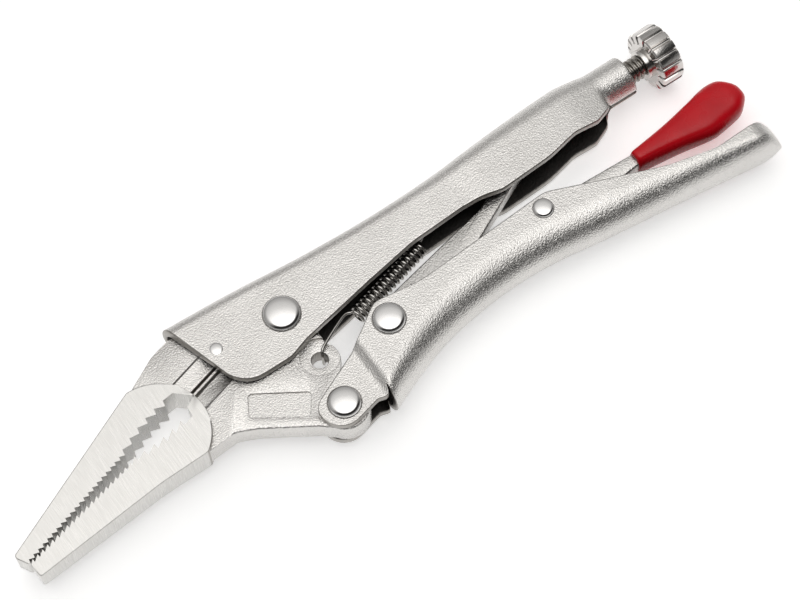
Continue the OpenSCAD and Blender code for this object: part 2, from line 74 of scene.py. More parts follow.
def noise(tree, vector, scale, detail=2.0, roughness=0.5):
    """A noise value, mostly between 0.3 and 0.7."""
    node = tree.nodes.new("ShaderNodeTexNoise")
    node.inputs["Scale"].default_value = scale
    node.inputs["Detail"].default_value = detail
    node.inputs["Roughness"].default_value = roughness
    tree.links.new(vector, node.inputs["Vector"])
    return node.outputs["Fac"]


def remap(tree, value, low, high, from_low=0.3, from_high=0.7):
    """The value carried from its own range to the range from low to high."""
    node = tree.nodes.new("ShaderNodeMapRange")
    node.inputs["From Min"].default_value = from_low
    node.inputs["From Max"].default_value = from_high
    node.inputs["To Min"].default_value = low
    node.inputs["To Max"].default_value = high
    tree.links.new(value, node.inputs["Value"])
    return node.outputs["Result"]


def mixed(tree, factor, a, b):
    """Colour a where factor is 0 and b where it is 1."""
    node = tree.nodes.new("ShaderNodeMix")
    node.data_type = "RGBA"
    node.inputs["A"].default_value = (*a, 1)
    node.inputs["B"].default_value = (*b, 1)
    tree.links.new(factor, node.inputs["Factor"])
    return node.outputs["Result"]


def bumped(tree, shader, height, distance):
    """Gives the shader a bumpy surface, distance metres deep."""
    node = tree.nodes.new("ShaderNodeBump")
    node.inputs["Distance"].default_value = distance
    node.inputs["Strength"].default_value = 1.0
    tree.links.new(height, node.inputs["Height"])
    tree.links.new(node.outputs["Normal"], shader.inputs["Normal"])


def object_coordinates(tree, scale=(1, 1, 1), turn=0.0):
    """The place on the piece, scaled and then turned about Z."""
    place = tree.nodes.new("ShaderNodeTexCoord")
    mapping = tree.nodes.new("ShaderNodeMapping")
    mapping.inputs["Scale"].default_value = scale
    mapping.inputs["Rotation"].default_value = (0, 0, turn)
    tree.links.new(place.outputs["Object"], mapping.inputs["Vector"])
    return mapping.outputs["Vector"]


def plated_metal(name, color, darker, grain, bump, rough):
    """Plated steel with fine pebbles and slow patches of a darker tint. grain is the pebbles' size
    and bump their height, in metres, and rough is the lowest and the highest roughness."""
    material, tree, shader = new_material(name)
    at = object_coordinates(tree)
    pebbles = noise(tree, at, 1 / grain, 3.0, 0.55)
    patches = noise(tree, at, PATCH_SCALE)
    shader.inputs["Metallic"].default_value = 1.0
    tree.links.new(mixed(tree, remap(tree, patches, 0, 1), color, darker), shader.inputs["Base Color"])
    tree.links.new(remap(tree, pebbles, *rough), shader.inputs["Roughness"])
    bumped(tree, shader, pebbles, bump)
    return material


def ground_metal(name, color, darker, turn):
    """Steel with fine grinding lines across the piece. turn is applied after the stretch, so it
    picks another pattern of lines and not another direction."""
    material, tree, shader = new_material(name)
    lengthwise = GRIND_SCALE / GRIND_STRETCH
    at = object_coordinates(tree, (GRIND_SCALE, lengthwise, lengthwise), turn)
    lines = noise(tree, at, 1.0, 3.0, 0.6)
    shader.inputs["Metallic"].default_value = 1.0
    tree.links.new(mixed(tree, remap(tree, lines, 0, 1), color, darker), shader.inputs["Base Color"])
    tree.links.new(remap(tree, lines, 0.24, 0.36), shader.inputs["Roughness"])
    bumped(tree, shader, lines, 0.00001)
    return material


def vinyl(name, color, darker):
    """Thick glossy dip coating, with slow waves in its surface."""
    material, tree, shader = new_material(name)
    at = object_coordinates(tree)
    waves = noise(tree, at, WAVE_SCALE)
    tree.links.new(mixed(tree, remap(tree, waves, 0, 1), color, darker), shader.inputs["Base Color"])
    tree.links.new(remap(tree, waves, 0.24, 0.32), shader.inputs["Roughness"])
    shader.inputs["Specular IOR Level"].default_value = 0.25
    shader.inputs["Coat Weight"].default_value = 0.12
    shader.inputs["Coat Roughness"].default_value = 0.1
    bumped(tree, shader, waves, 0.0001)
    return material


plating = plated_metal(
    "plating", (0.70, 0.685, 0.665), (0.64, 0.625, 0.605), grain=0.0003, bump=0.00013, rough=(0.20, 0.29)
)
# Painted shade: a near-black plating on the channels' inner faces, standing for the shade inside them.
inside_painted_shade = plated_metal(
    "inside_painted_shade", (0.10, 0.095, 0.09), (0.06, 0.057, 0.054), grain=0.0004, bump=0.00008, rough=(0.4, 0.6)
)
# Darker steel: the sheets' cut edges, as unplated sheared steel and partly as painted shade for the dark line
# along them; the jaws use it as painted shade on their recess walls and nose step.
sheared_edge_and_painted_shade = plated_metal(
    "sheared_edge_and_painted_shade", (0.46, 0.44, 0.415), (0.32, 0.305, 0.285), grain=0.00035, bump=0.00008, rough=(0.25, 0.4)
)
link_plating = plated_metal(
    "link_plating",
    (0.68, 0.665, 0.645),
    (0.58, 0.565, 0.545),
    grain=0.00035,
    bump=0.00012,
    rough=(0.24, 0.36),
)
jaw_steel = ground_metal("jaw_steel", (0.70, 0.69, 0.67), (0.60, 0.59, 0.57), math.radians(-70))
polished = plated_metal(
    "polished", (0.70, 0.69, 0.68), (0.66, 0.65, 0.64), grain=0.0006, bump=0.000004, rough=(0.10, 0.14)
)
spring_steel = plated_metal(
    "spring_steel", (0.50, 0.48, 0.46), (0.40, 0.39, 0.37), grain=0.0004, bump=0.00001, rough=(0.14, 0.22)
)
screw_steel = plated_metal(
    "screw_steel", (0.34, 0.32, 0.295), (0.26, 0.245, 0.225), grain=0.0004, bump=0.00002, rough=(0.2, 0.3)
)
knob_steel = plated_metal(
    "knob_steel", (0.66, 0.64, 0.62), (0.58, 0.56, 0.54), grain=0.0004, bump=0.00002, rough=(0.14, 0.2)
)
red_vinyl = vinyl("red_vinyl", (0.62, 0.004, 0.012), (0.54, 0.003, 0.010))

# ---- Shapes shared by the pieces ----

pivot = Vector(next(joint for joint in frame["joints"] if joint["name"] == "jaw_hinge")["pos_m"])
SCREW_Y = 6.1  # the screw's axis
SHEET = 1.5  # thickness of the pressed sheet
EDGE = 0.3  # radius of its sheared edges
PAST_EDGE = 0.35  # a row of points this far from the rim lies just past the edge's rounding
CORNER_SHARE = 0.3  # how far along its two sides the middle of a rounded corner lies
WALL_ROWS = 14
BEND_ROWS = 12
ARC_STEPS = 8
WELD = 0.002  # points closer together than this are made one
SHEET_WELD = 0.0005
CAD_WELD = 0.004
# the inside is painted dark as shade; the cut edges are darker as unplated steel and as painted shade
OUTSIDE, INSIDE, CUT_EDGE = 0, 1, 2  # the materials of a pressed sheet
AXIS_R = 0.001  # how near the axis a turned piece's ends come


def placed(point):
    """A point in millimetres from the main pivot, as a point of the frame."""
    return pivot + MM * Vector(point)


def corner_arc(before, corner, after, radius):
    """Points that round a corner between its two neighbours."""
    if radius <= 0:
        return [corner.copy()]
    u = (before - corner).normalized()
    v = (after - corner).normalized()
    half = math.acos(max(-1, min(1, u.dot(v)))) / 2
    centre = corner + (u + v).normalized() * radius / math.sin(half)
    first = corner + u * radius / math.tan(half) - centre
    last = corner + v * radius / math.tan(half) - centre
    turn = (math.atan2(last.y, last.x) - math.atan2(first.y, first.x) + math.pi) % (2 * math.pi) - math.pi
    return [centre + Matrix.Rotation(turn * i / ARC_STEPS, 2) @ first for i in range(ARC_STEPS + 1)]


def rounded_path(corners):
    """An open path through corners given as (x, y, radius)."""
    flat = [Vector(corner[:2]) for corner in corners]
    path = [flat[0]]
    for i in range(1, len(flat) - 1):
        path += corner_arc(flat[i - 1], flat[i], flat[i + 1], corners[i][2])
    return path + [flat[-1]]


def lengths_along(path):
    """The path's length up to each of its points."""
    lengths = [0.0]
    for a, b in zip(path, path[1:]):
        lengths.append(lengths[-1] + (b - a).length)
    return lengths


def resampled(path, spacing):
    """The same path as points about spacing apart."""
    lengths = lengths_along(path)
    count = max(2, round(lengths[-1] / spacing))
    points = []
    k = 0
    for i in range(count + 1):
        goal = lengths[-1] * i / count
        while k < len(path) - 2 and lengths[k + 1] < goal:
            k += 1
        t = (goal - lengths[k]) / max(1e-9, lengths[k + 1] - lengths[k])
        points.append(path[k].lerp(path[k + 1], min(1, t)))
    return points


def along(knots, x):
    """Height at x of the smooth curve through knots (x, y), held level past both ends."""
    if x <= knots[0][0]:
        return knots[0][1]
    if x >= knots[-1][0]:
        return knots[-1][1]
    i = max(k for k in range(len(knots) - 1) if knots[k][0] <= x)

    def slope(k):
        a, b = knots[max(k - 1, 0)], knots[min(k + 1, len(knots) - 1)]
        return (b[1] - a[1]) / (b[0] - a[0])

    span = knots[i + 1][0] - knots[i][0]
    t = (x - knots[i][0]) / span
    return (
        (2 * t**3 - 3 * t**2 + 1) * knots[i][1]
        + (t**3 - 2 * t**2 + t) * slope(i) * span
        + (3 * t**2 - 2 * t**3) * knots[i + 1][1]
        + (t**3 - t**2) * slope(i + 1) * span
    )


def smooth_step(t):
    """Rises smoothly from 0 at t = 0 to 1 at t = 1."""
    t = max(0.0, min(1.0, t))
    return t * t * (3 - 2 * t)


def new_piece(name, points, faces, materials):
    """A smooth-shaded mesh object from points in millimetres from the main pivot."""
    mesh = bpy.data.meshes.new(name)
    mesh.from_pydata([placed(point) for point in points], [], faces)
    piece = bpy.data.objects.new(name, mesh)
    bpy.context.scene.collection.objects.link(piece)
    for material in materials:
        mesh.materials.append(material)
    mesh.shade_smooth()
    return piece


def grid_faces(rows, columns, closed=False, start=0):
    """Faces of a grid stored row after row. A closed grid joins each row's last point to its first."""
    faces = []
    for i in range(rows - 1):
        for j in range(columns if closed else columns - 1):
            a = start + i * columns + j
            b = start + i * columns + (j + 1) % columns
            faces.append((a, b, b + columns, a + columns))
    return faces


def clean(piece, outward):
    """Merges coincident points and turns every face to the side that outward(centre) points to."""
    work = bmesh.new()
    work.from_mesh(piece.data)
    bmesh.ops.remove_doubles(work, verts=work.verts, dist=WELD * MM)
    bmesh.ops.recalc_face_normals(work, faces=work.faces)
    votes = [face.normal.dot(outward(face.calc_center_median())) * face.calc_area() for face in work.faces]
    if sum(votes) < 0:
        bmesh.ops.reverse_faces(work, faces=work.faces)
    work.to_mesh(piece.data)
    work.free()
    piece.data.shade_smooth()


def merged(outer, inner, faces):
    """The two surfaces with coincident outer points made one, and collapsed faces left out."""
    index = {}
    kept = []
    number = []
    for i, point in enumerate(outer):
        key = tuple(round(value, 3) for value in point)
        if key not in index:
            index[key] = len(kept)
            kept.append(i)
        number.append(index[key])
    joined = []
    for face in faces:
        corners = list(dict.fromkeys(number[i] for i in face))
        if len(corners) > 2:
            joined.append(corners)
    return [Vector(outer[i]) for i in kept], [Vector(inner[i]) for i in kept], joined


def open_edges(faces):
    """The edges that only one face has, each in its face's direction."""
    edges = {(a, b) for face in faces for a, b in zip(face, face[1:] + face[:1])}
    return [(a, b) for a, b in sorted(edges) if (b, a) not in edges]


def drawn_in(points, faces, rim):
    """Where each point of the open edge goes to leave room for the edge's rounding, which takes
    less than half of the next face."""
    near = {i: set() for i in rim}
    for face in faces:
        for a, b in zip(face, face[1:] + face[:1]):
            if a in near:
                near[a].add(b)
            if b in near:
                near[b].add(a)
    moved = {}
    for i in rim:
        inside = [j for j in sorted(near[i]) if j not in near] or sorted(near[i])
        way = sum((points[j] - points[i] for j in inside), Vector()) / len(inside)
        moved[i] = points[i] + way.normalized() * min(EDGE, 0.45 * way.length)
    return moved


def pressed(name, outer, inner, faces, materials):
    """A sheet between two surfaces with the same faces, whose open edges are rounded.
    The materials are those of its outside, its inside, which is painted dark as shade, and its edges, which
    are darker as unplated steel and as painted shade."""
    outer, inner, faces = merged(outer, inner, faces)
    edges = open_edges(faces)
    rim = sorted({i for edge in edges for i in edge})
    outer_in = drawn_in(outer, faces, rim)
    inner_in = drawn_in(inner, faces, rim)
    count = len(outer)
    points = [outer_in.get(i, point) for i, point in enumerate(outer)]
    points += [inner_in.get(i, point) for i, point in enumerate(inner)]
    # each open point's strip: just inside the outer face, across the edge, just inside the inner face
    strip = {}
    for i in rim:
        across = (inner[i] - outer[i]).normalized() * EDGE
        corner_a = outer[i] + CORNER_SHARE * (across + outer_in[i] - outer[i])
        corner_b = inner[i] + CORNER_SHARE * (inner_in[i] - inner[i] - across)
        between = [corner_a, outer[i] + across, inner[i] - across, corner_b]
        strip[i] = [i] + list(range(len(points), len(points) + len(between))) + [i + count]
        points += between
    solid = list(faces) + [[i + count for i in reversed(face)] for face in faces]
    kinds = [OUTSIDE] * len(faces) + [INSIDE] * len(faces)
    for a, b in edges:
        for k in range(len(strip[a]) - 1):
            solid.append([strip[b][k], strip[a][k], strip[a][k + 1], strip[b][k + 1]])
            kinds.append(CUT_EDGE)
    piece = new_piece(name, points, solid, materials)
    piece.data.polygons.foreach_set("material_index", kinds)
    work = bmesh.new()
    work.from_mesh(piece.data)
    bmesh.ops.remove_doubles(work, verts=work.verts, dist=SHEET_WELD * MM)
    bmesh.ops.recalc_face_normals(work, faces=work.faces)
    work.to_mesh(piece.data)
    work.free()
    piece.data.shade_smooth()
    return piece


def wall_steps(length):
    """Parts of a wall's height at its rows: the first and last lie just past the edge's rounding."""
    margin = min(PAST_EDGE / max(length, 0.01), 0.3)
    middle = [margin + (1 - 2 * margin) * k / (WALL_ROWS - 2) for k in range(WALL_ROWS - 1)]
    return [0.0] + middle + [1.0]


def stand_for(piece, node, body):
    """Shows the piece in the place of a CAD node, carried by a body."""
    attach(piece, body)
    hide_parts(node)


# ---- Upper handle ----

# Along x: the height of the back, half the width, and how far down the rounding of the back reaches
UPPER_TOP = [
    (-23, 11.7), (-5, 10.8), (10, 9.5), (25, 8.9), (40, 9.3), (56, 10.6), (69, 11.3), (73, 11), (77, 10.35),
]
UPPER_HALF = [(-23, 4.5), (20, 4.5), (41, 4.7), (47, 5.25), (68, 5.25), (77, 4.25)]
UPPER_CROWN = [(-23, 3.2), (30, 3.4), (47, 4.2), (68, 5.0), (77, 4.25)]
COLLAR_R = 4.25
BORE_R = 2.52
COLLAR_END = 84.2
WRAP_START = 75.8  # the sheet starts to close into the collar here
WRAP_LENGTH = 2.2
SLIT_HALF = 0.35  # half the slit left under the collar
UPPER_SPACING = 0.8
FAN_END_X = 12  # the columns fan out over the front corner up to here
CREST_FRONT_X = -19.73
# The open rim, as corners (x, y, radius)
UPPER_RIM = [
    (-22.3, 20, 0), (-13.6, -8.3, 6), (-3.2, -8.35, 4), (0.9, -6.95, 5), (17.2, -3.75, 20), (28.4, -1.8, 20),
    (40, -1.3, 12), (44, -1.6, 10), (48.6, -2.9, 6), (60, -2.4, 20), (67, -0.9, 6), (72.2, -1.3, 1.5),
    (76.1, 0.2, 1.5), (77.6, 1.9, 1.2), (COLLAR_END, 1.9, 0),
]


def both_sides(near):
    """Near-side columns, each from the rim to the crest, carried over to the far side."""
    return [column + [(x, y, -z) for x, y, z in reversed(column[:-1])] for column in near]


def upper_column(rim, crest_x, inset):
    """Points from the rim to the crest, on the surface that lies inset within the outer face."""
    crest_y = along(UPPER_TOP, crest_x) - inset

    def lean(y):
        return rim.x + (crest_x - rim.x) * (y - rim.y) / (crest_y - rim.y)

    base = crest_y - along(UPPER_CROWN, crest_x) + inset
    base = along(UPPER_TOP, lean(base)) - along(UPPER_CROWN, lean(base))
    wrap = smooth_step((rim.x - WRAP_START) / WRAP_LENGTH)
    collar_r = COLLAR_R - inset * (COLLAR_R - BORE_R) / SHEET
    lip = -math.acos(SLIT_HALF / collar_r)

    def wrapped(y, z, angle):
        """The column's point at (y, z), moved towards its place on the collar as far as the wrap has come."""
        y += (SCREW_Y + collar_r * math.sin(angle) - y) * wrap
        z += (collar_r * math.cos(angle) - z) * wrap
        return (lean(y), y, z)

    column = []
    for k, step in enumerate(wall_steps(base - rim.y)[:-1]):
        y = rim.y + (base - rim.y) * step
        z = along(UPPER_HALF, lean(y)) - inset
        column.append(wrapped(y, z, lip * (1 - k / WALL_ROWS)))
    for k in range(BEND_ROWS + 1):
        angle = math.pi / 2 * k / BEND_ROWS
        y = base + (crest_y - base) * math.sin(angle)
        z = (along(UPPER_HALF, lean(y)) - inset) * math.cos(angle)
        column.append(wrapped(y, z, angle))
    return column


def make_upper_handle():
    """A pressed channel that closes into a round collar behind. Its columns fan out over the front corner."""
    rim = resampled(rounded_path(UPPER_RIM)[1:], UPPER_SPACING)
    lengths = lengths_along(rim)
    fan = next(length for point, length in zip(rim, lengths) if point.x >= FAN_END_X)
    surfaces = []
    for inset in (0, SHEET):
        near = []
        for point, length in zip(rim, lengths):
            crest_x = point.x
            if length < fan:
                crest_x = CREST_FRONT_X + (FAN_END_X - CREST_FRONT_X) * length / fan
            near.append(upper_column(point, crest_x, inset))
        surfaces.append(both_sides(near))
    outer, inner = ([point for column in columns for point in column] for columns in surfaces)
    faces = grid_faces(len(surfaces[0]), len(surfaces[0][0]))
    piece = pressed("upper_handle_shell", outer, inner, faces, [plating, inside_painted_shade, sheared_edge_and_painted_shade])
    stand_for(piece, "upper_handle", "upper_frame")


# ---- Lower handle ----

# Along x: the height of the back, and how far up the rounding of the back reaches
LOWER_BOTTOM = [
    (8, -26.4), (14, -23.9), (22, -21.1), (31, -19.4), (41, -18.7), (50, -19.15), (60, -20.6), (80, -23),
    (99, -25.2),
]
LOWER_CROWN = [(8, 4), (20, 6.4), (60, 6.2), (84, 4.2), (93, 3.2), (99, 2.7)]
LOWER_END = 99
LOWER_BEND_X = 94  # the walls curve together behind this
END_RISE = 0.8  # how much the back rises at the rear end
LOWER_HALF = 5.25
LOWER_SPACING = 0.9
EAR_HALF = 4.0
EAR_SPACING = 0.7
JOGGLE_START = 6.1  # the walls widen from the ears to the channel over the joggle
JOGGLE_LENGTH = 2.6
WEB_X = 7.6  # the channel's back starts here, and the ears end
JOGGLE_STATIONS = [WEB_X, 7.9, 8.3, 8.8]
EAR_LEFT = -5.5
EAR_MIDDLE = -21.4
EAR_REAR_Y = -23
# The ear's outline above and below its middle, and the channel's open rim, as corners (x, y, radius)
EAR_TOP = [
    (EAR_LEFT, EAR_MIDDLE + 0.3, 0), (EAR_LEFT, -19.2, 3), (-1.4, -17.3, 3), (5.8, -14.1, 8),
    (WEB_X, -13.1, 0),
]
EAR_BOTTOM = [
    (EAR_LEFT, EAR_MIDDLE - 0.3, 0), (EAR_LEFT, -27.1, 4.4), (4.9, -24.5, 1), (6.9, -25.2, 0.6),
    (7.3, -24.2, 0.3), (WEB_X, EAR_REAR_Y, 0),
]
LOWER_RIM = [
    (WEB_X, -13.1, 0), (9.6, -11.9, 6), (15, -8.2, 3), (25, -9.6, 14), (54.4, -7.9, 6), (63, -11.5, 10),
    (77, -17.1, 12), (86.5, -19.4, 8), (97, -19.1, 2), (LOWER_END, -21.4, 0),
]


def lower_half(x, inset=0.0):
    """Half the lower handle's width at x: the joggle in front, and the walls curving together behind."""
    reach = LOWER_END - inset - LOWER_BEND_X
    end = max(0.0, min(1.0, (x - LOWER_BEND_X) / reach))
    widening = (LOWER_HALF - EAR_HALF) * smooth_step((x - JOGGLE_START) / JOGGLE_LENGTH)
    return (EAR_HALF + widening - inset) * math.sqrt(1 - end * end)


def rim_height(path, x):
    """Height of the rim at x, on a path that runs towards +X."""
    for a, b in zip(path, path[1:]):
        if a.x <= x <= b.x:
            return a.y + (b.y - a.y) * (x - a.x) / max(1e-9, b.x - a.x)
    return path[-1].y


def lower_column(rim, x, inset):
    """Points from the rim to the crest, on the surface that lies inset within the outer face.
    x is the place on the outer face; behind the bend the inner face ends sooner."""
    turn = max(0.0, (x - LOWER_BEND_X) / (LOWER_END - LOWER_BEND_X))
    at = x if turn == 0 else LOWER_BEND_X + (LOWER_END - inset - LOWER_BEND_X) * turn
    half = lower_half(at, inset)
    crest = along(LOWER_BOTTOM, at) + END_RISE * (1 - math.sqrt(max(0.0, 1 - turn * turn))) + inset
    base = crest + along(LOWER_CROWN, at) - inset
    if x == WEB_X:
        base = EAR_REAR_Y
    high = rim_height(rim, x)
    column = [(at, high + (base - high) * step, half) for step in wall_steps(high - base)[:-1]]
    for k in range(BEND_ROWS + 1):
        angle = math.pi / 2 * k / BEND_ROWS
        column.append((at, base - (base - crest) * math.sin(angle), half * math.cos(angle)))
    return column


def ear_columns():
    """Columns over one ear, from its upper outline to its lower one, as points [x, y]."""
    top = resampled(rounded_path(EAR_TOP), EAR_SPACING)
    bottom = resampled(rounded_path(EAR_BOTTOM), EAR_SPACING)
    count = max(len(top), len(bottom)) - 1
    top = resampled(top, lengths_along(top)[-1] / count)
    bottom = resampled(bottom, lengths_along(bottom)[-1] / count)
    columns = []
    for high, low in zip(top, bottom):
        columns.append([high.lerp(low, step) for step in wall_steps((high - low).length)])
    return columns


def make_lower_handle():
    """A pressed channel with two flat ears in front of its joggle and a rounded rear end."""
    rim = rounded_path(LOWER_RIM)
    stations = list(JOGGLE_STATIONS)
    while stations[-1] < LOWER_BEND_X - 1:
        stations.append(stations[-1] + LOWER_SPACING)
    reach = LOWER_END - LOWER_BEND_X
    stations += [LOWER_BEND_X + reach * math.sin(math.radians(angle)) for angle in range(0, 91, 6)]
    ear = ear_columns()
    surfaces = []
    for inset in (0, SHEET):
        columns = both_sides([lower_column(rim, x, inset) for x in stations])
        points = [point for column in columns for point in column]
        for side in (1, -1):
            for column in ear:
                points += [(point.x, point.y, side * lower_half(point.x, inset)) for point in column]
        surfaces.append(points)
    channel_size = len(columns) * len(columns[0])
    ear_size = len(ear) * len(ear[0])
    faces = grid_faces(len(columns), len(columns[0]))
    faces += grid_faces(len(ear), len(ear[0]), start=channel_size)
    far_ear = grid_faces(len(ear), len(ear[0]), start=channel_size + ear_size)
    faces += [face[::-1] for face in far_ear]
    piece = pressed("lower_handle_shell", *surfaces, faces, [plating, inside_painted_shade, sheared_edge_and_painted_shade])
    stand_for(piece, "lower_handle", "handle")


# ---- Jaws and plates, from the frame's own shapes ----

TEETH_START = -64
TEETH_END = -22.8
# The line between the two rows of teeth, fine in front and coarse behind: x, height there, slope
FINE_LINE = (-63, -13.9, 0.262)
COARSE_LINE = (-39, -7.7, 0.27)
FINE_REACH = 2.2
COARSE_REACH = 4.6
COARSE_REACH_START = -38
FLAT_ANGLE = math.radians(0.8)  # faces that meet flatter than this are one face
OUTLINE_ANGLE = math.radians(30)  # edges sharper than this are rounded
SHARP_ANGLE = math.radians(28)  # edges sharper than this are shaded as edges
FACING = 0.9  # the least part of a face's normal along Z, for a face that looks across the tool
SHALLOW_EDGE = 0.1
NOSE_EDGE = 0.2
BODY_EDGE = 0.45
PLATE_EDGE = 0.35
SHOULDER_X = -21.5  # the nose's edges are in front of this
PLAQUE = ((-16.5, -3.3), (-20, -8.7))  # the plaque's reach in x and y
UNDERSIDE_Y = -26.3  # a line just above the jaw's lower edge: its height at x = 0 and its slope
UNDERSIDE_SLOPE = -0.66
COIN = Vector((1.3, -10.5))  # the round recess at the spring's hole
COIN_R = 3.8
COIN_MARGIN = 0.2
CUTTER_START = Vector((-22.2, -3.9))
CUTTER_ANGLE = math.radians(16)
CUTTER_REACH = (-3.5, 8.5)
CUTTER_HALF = 4.5
NOSE_CENTRE = Vector((-32, -6.5))
NOSE_R = 10.4  # the nose's round end, with a step between these distances inside and outside it
STEP_INSIDE = 0.15
STEP_OUTSIDE = 0.1
WALL_NORMAL = 0.8  # a face whose normal has less than this along Z is a wall
GROUND, PLATED, SHADOWED = 0, 1, 2  # the materials of a jaw


def in_teeth(x, y):
    """Whether a point in millimetres from the main pivot lies on the two rows of teeth."""
    if not TEETH_START < x < TEETH_END:
        return False
    start, height, slope = FINE_LINE if x < COARSE_LINE[0] else COARSE_LINE
    reach = FINE_REACH if x < COARSE_REACH_START else COARSE_REACH
    return abs(y - height - (x - start) * slope) < reach


def refined(node, name, material, widths):
    """A copy of a node with its flat facets cleared and its outer edges rounded. widths gives the
    radius in millimetres for an edge at (x, y, z), or 0 to leave it sharp."""
    mesh = frame["nodes"][node].data.copy()
    mesh.name = name
    piece = bpy.data.objects.new(name, mesh)
    bpy.context.scene.collection.objects.link(piece)
    work = bmesh.new()
    work.from_mesh(mesh)
    bmesh.ops.remove_doubles(work, verts=work.verts, dist=CAD_WELD * MM)
    bmesh.ops.dissolve_limit(work, angle_limit=FLAT_ANGLE, verts=work.verts, edges=work.edges)
    chosen = {}
    for edge in work.edges:
        if len(edge.link_faces) != 2 or edge.calc_face_angle(0) < OUTLINE_ANGLE:
            continue
        if max(abs(face.normal.z) for face in edge.link_faces) < FACING:
            continue
        middle = ((edge.verts[0].co + edge.verts[1].co) / 2 - pivot) / MM
        width = widths(*middle)
        if width > 0 and edge.is_convex:
            chosen.setdefault(width, []).append(edge)
    for width, edges in sorted(chosen.items()):
        edges = [edge for edge in edges if edge.is_valid]
        bmesh.ops.bevel(
            work, geom=edges, offset=width * MM, segments=3, profile=0.5, affect="EDGES", clamp_overlap=False
        )
    work.to_mesh(mesh)
    work.free()
    mesh.shade_smooth()
    mesh.set_sharp_from_angle(angle=SHARP_ANGLE)
    mesh.materials.clear()
    mesh.materials.append(material)
    return piece


def near_plaque(x, y):
    (left, right), (low, high) = PLAQUE
    return left < x < right and low < y < high and y > UNDERSIDE_Y + UNDERSIDE_SLOPE * x


def near_coin(x, y):
    return (Vector((x, y)) - COIN).length < COIN_R + COIN_MARGIN


def near_cutter(x, y):
    """Whether a point lies on the sunk strips beside the wire cutter's edge."""
    from_start = Vector((x, y)) - CUTTER_START
    ahead = Vector((math.cos(CUTTER_ANGLE), math.sin(CUTTER_ANGLE)))
    beside = Vector((-ahead.y, ahead.x))
    first, last = CUTTER_REACH
    return first < from_start.dot(ahead) < last and abs(from_start.dot(beside)) < CUTTER_HALF


def near_recess(x, y):
    return near_plaque(x, y) or near_cutter(x, y) or near_coin(x, y)


def jaw_edge(x, y, z):
    """Radius of a jaw's edge: small where a recess is shallow, and none at the teeth or inside the jaw."""
    if in_teeth(x, y) or abs(z) < 1:
        return 0
    if near_recess(x, y):
        return SHALLOW_EDGE
    return NOSE_EDGE if x < SHOULDER_X else BODY_EDGE


def jaw_finish(centre, normal):
    """The ground nose, the plated body, or painted shade on the walls of its recesses and its step to the
    nose.
    """
    from_nose = (Vector(centre[:2]) - NOSE_CENTRE).length
    if centre.x <= NOSE_CENTRE.x or from_nose < NOSE_R - STEP_INSIDE:
        return GROUND
    shadowed = near_recess(centre.x, centre.y) or from_nose < NOSE_R + STEP_OUTSIDE
    if shadowed and abs(normal.z) < WALL_NORMAL:
        return SHADOWED
    return PLATED


def make_plates():
    for node, body in (("fixed_jaw", "upper_frame"), ("movable_jaw", "jaw")):
        piece = refined(node, node + "_body", jaw_steel, jaw_edge)
        piece.data.materials.append(plating)
        # painted shade on the walls of the recesses and the step to the nose
        piece.data.materials.append(sheared_edge_and_painted_shade)
        for face in piece.data.polygons:
            face.material_index = jaw_finish((face.center - pivot) / MM, face.normal)
        stand_for(piece, node, body)
    for node, body in (("toggle_link", "link"), ("release_lever", "lever")):
        piece = refined(node, node + "_plate", link_plating, lambda x, y, z: PLATE_EDGE)
        stand_for(piece, node, body)


# ---- Rivets ----


LATHE_SIDES = 64
CROWN_END = 0.7  # the flat crown's part of a head's radius
CROWN_ROWS = 12
ROLL_ROWS = 18
HEAD_TILTS = [(0, 0), (CROWN_END, 21), (0.84, 50), (1, 80)]  # how steep a head is, along its radius
HEAD_FOOT = 0.1  # height of a head's rim above the face
HEAD_GROOVE = 0.25  # width of the fine groove under the rim


def lathe(name, centre, profile, material):
    """A solid turned round Z from (radius, height)."""
    points = []
    for radius, height in profile:
        for i in range(LATHE_SIDES):
            angle = 2 * math.pi * i / LATHE_SIDES
            point = Vector((radius * math.cos(angle), radius * math.sin(angle), height))
            points.append(Vector(centre) + point)
    piece = new_piece(name, points, grid_faces(len(profile), LATHE_SIDES, closed=True), [material])
    middle = placed(centre)
    clean(piece, lambda face_centre: face_centre - middle)
    return piece


def domed_profile(radius, rise, face):
    """One end of a rivet, from its rim on the face up to its crown. Its flat crown turns down
    ever more steeply to a rounded edge, and a fine groove sets it off from the face."""
    shares = [i / CROWN_ROWS * CROWN_END for i in range(CROWN_ROWS)]
    shares += [CROWN_END + i / ROLL_ROWS * (1 - CROWN_END) for i in range(ROLL_ROWS + 1)]
    depth = [0.0]
    for a, b in zip(shares, shares[1:]):
        depth.append(depth[-1] + math.tan(math.radians(along(HEAD_TILTS, (a + b) / 2))) * (b - a))
    scale = (rise - HEAD_FOOT) / depth[-1]
    dome = [(max(AXIS_R, radius * share), face + rise - scale * low) for share, low in zip(shares, depth)]
    groove = [
        (radius - HEAD_GROOVE, face - HEAD_FOOT), (radius - HEAD_GROOVE, face + 0.02),
        (radius - 0.02, face + 0.04),
    ]
    return groove + dome[::-1]


def pin_profile(radius, rise, face):
    """One end of a pin, with a groove turned round its low crown."""
    # (distance inside the rim, height above the face)
    rows = [
        (0, -0.2), (0, 0.1), (0.05, 0.14), (0.3, 0.14), (0.4, -0.15), (0.5, -0.15), (0.6, 0.2),
        (0.75, rise - 0.08), (1.0, rise - 0.02),
    ]
    return [(radius - inward, face + up) for inward, up in rows] + [(AXIS_R, face + rise)]


# Body, place, shank radius, head radius, head's height, and half the width between the two heads
RIVETS = {
    "main_pivot_rivet": ("upper_frame", (0, 0), 2.25, 3.75, 1.3, 4.5),
    "jaw_handle_rivet": ("handle", (-0.55, -21.5), 2.0, 3.3, 1.3, 4.0),
    "link_rivet": ("handle", (15.4, -12.8), 2.0, 3.3, 1.3, 5.25),
    "lever_rivet": ("handle", (52.1, -10.75), 1.3, 2.1, 0.8, 5.25),
    "fixed_jaw_pin": ("upper_frame", (-13.8, 1.1), 1.55, 1.85, 0.35, 4.35),
}


